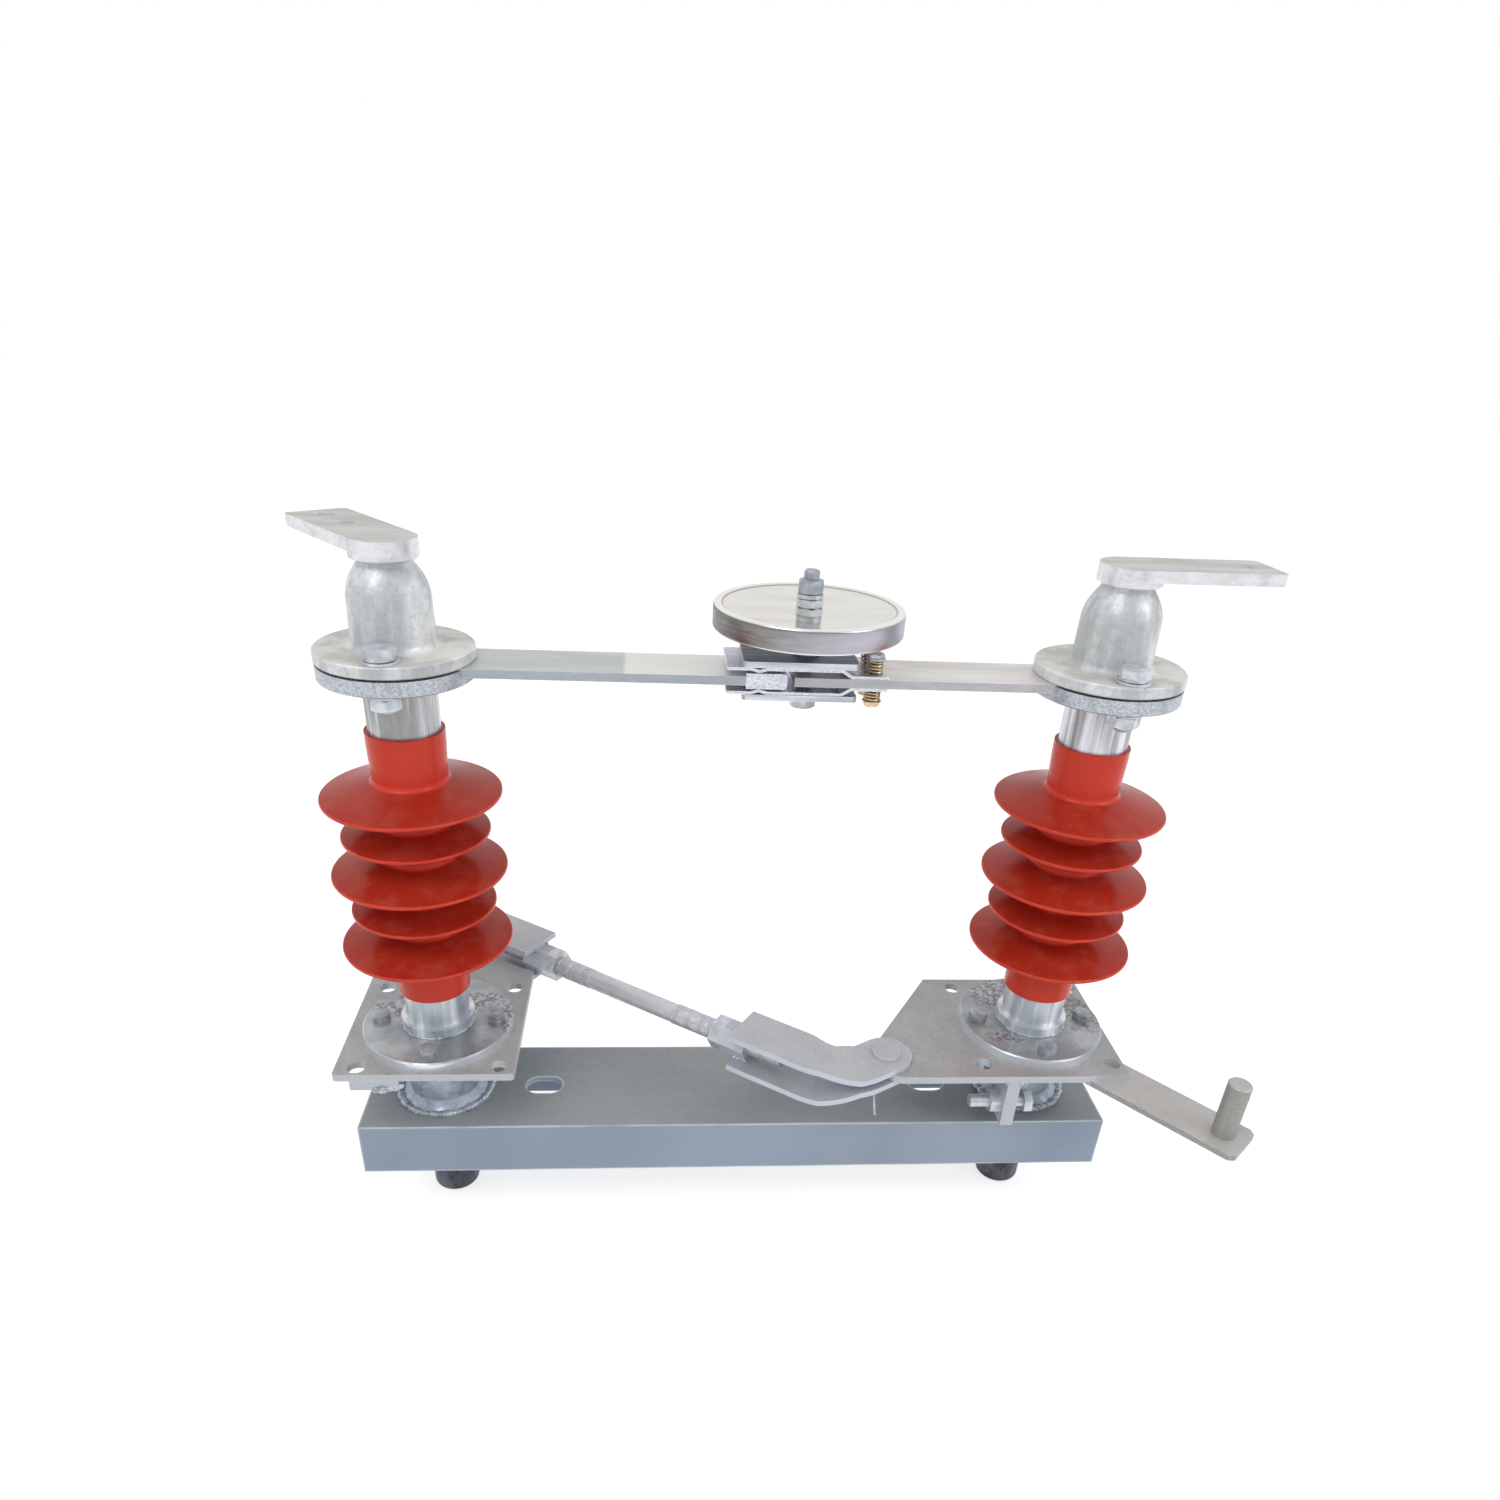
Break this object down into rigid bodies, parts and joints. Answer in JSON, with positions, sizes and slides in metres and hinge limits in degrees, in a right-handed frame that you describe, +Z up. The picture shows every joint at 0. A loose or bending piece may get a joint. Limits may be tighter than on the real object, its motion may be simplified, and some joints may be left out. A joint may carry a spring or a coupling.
{
  "type": "single-pole centre-break disconnect switch",
  "caption": "Single pole of an outdoor centre-break disconnect switch: channel base, two turning ribbed insulators joined by a cross link, flat arms meeting in spring fingers under a rain cover.",
  "frame": {"origin": "middle of the underside of the channel's web, which is the face that the bolts through the two slots clamp", "axes": "+X along the channel towards the column with the operating lever, +Y away from the side with the stop tab, +Z up along the insulators"},
  "size_m": [0.69, 0.3144, 0.537],
  "materials": {
    "base_paint": "satin blue-grey silver paint",
    "silver_paint": "satin silver-grey paint",
    "zinc_tube": "bright hot-dip zinc with streaks",
    "cast_grey": "matt light grey casting",
    "tinned_bar": "satin tinned flat bar",
    "bright_steel": "bright steel plate",
    "mirror_steel": "polished stainless steel with a brushed rim",
    "zinc_bolts": "zinc plated, slightly dull",
    "yellow_zinc": "yellow zinc",
    "dark_steel": "dark worn paint",
    "red_silicone": "glossy red silicone rubber"
  },
  "bodies": {
    "base": {"base_channel": "base_paint", "left_bearing_housing": "silver_paint", "right_bearing_housing": "silver_paint", "left_bearing_cap": "dark_steel", "right_bearing_cap": "dark_steel"},
    "left_column": {"left_shaft": "silver_paint", "left_crank_plate": "silver_paint", "left_crank_pin": "zinc_bolts", "left_stop_bar": "silver_paint", "left_bottom_flange": "zinc_tube", "left_flange_bolts": "zinc_bolts", "left_insulator": "red_silicone", "left_top_fitting": "zinc_tube", "left_terminal_housing": "cast_grey", "left_head_bolts": "zinc_bolts", "left_arm": "tinned_bar", "contact_tip": "tinned_bar"},
    "right_column": {"right_shaft": "silver_paint", "right_crank_plate": "silver_paint", "right_crank_pin": "zinc_bolts", "operating_lever": "silver_paint", "lever_pin": "zinc_bolts", "stop_tab": "silver_paint", "stop_screw": "zinc_bolts", "right_bottom_flange": "zinc_tube", "right_flange_bolts": "zinc_bolts", "right_insulator": "red_silicone", "right_top_fitting": "zinc_tube", "right_terminal_housing": "cast_grey", "right_head_bolts": "zinc_bolts", "right_arm": "tinned_bar", "upper_fingers": "tinned_bar", "lower_fingers": "tinned_bar", "finger_springs": "zinc_bolts", "finger_bolts": "yellow_zinc", "upper_clamp_plate": "bright_steel", "lower_clamp_plate": "bright_steel", "cover_stud": "zinc_bolts", "rain_cover": "mirror_steel", "cover_nuts": "zinc_bolts"},
    "left_terminal_bar": {"left_terminal": "cast_grey"},
    "right_terminal_bar": {"right_terminal": "cast_grey"},
    "link_rod_half": {"link_right_fork": "silver_paint", "link_rod": "zinc_bolts", "right_lock_nut": "zinc_bolts"},
    "link_left_half": {"link_left_fork": "silver_paint", "link_rod_end": "zinc_bolts", "left_lock_nut": "zinc_bolts"}
  },
  "joints": [
    {"name": "right_column_turn", "type": "hinge", "parent": "base", "child": "right_column", "pos_m": [0.24, 0, 0], "axis": [0, 0, 1], "range_deg": [0, 90]},
    {"name": "left_column_turn", "type": "hinge", "parent": "base", "child": "left_column", "pos_m": [-0.24, 0, 0], "axis": [0, 0, 1], "range_deg": [-90, 0]},
    {"name": "right_link_pivot", "type": "hinge", "parent": "right_column", "child": "link_rod_half", "pos_m": [0.111, -0.044, 0.0638], "axis": [0, 0, 1], "range_deg": [-90, 0]},
    {"name": "left_link_pivot", "type": "hinge", "parent": "left_column", "child": "link_left_half", "pos_m": [-0.284, 0.129, 0.0638], "axis": [0, 0, 1], "range_deg": [0, 90]},
    {"name": "left_terminal_swivel", "type": "hinge", "parent": "left_column", "child": "left_terminal_bar", "pos_m": [-0.24, 0, 0.427], "axis": [0, 0, 1], "range_deg": [-90, 90]},
    {"name": "right_terminal_swivel", "type": "hinge", "parent": "right_column", "child": "right_terminal_bar", "pos_m": [0.24, 0, 0.427], "axis": [0, 0, 1], "range_deg": [-90, 90]}
  ],
  "couplings": [
    {"joint": "left_column_turn", "follows": "right_column_turn", "ratio": -1},
    {"joint": "right_link_pivot", "follows": "right_column_turn", "ratio": -1},
    {"joint": "left_link_pivot", "follows": "right_column_turn", "ratio": 1}
  ]
}
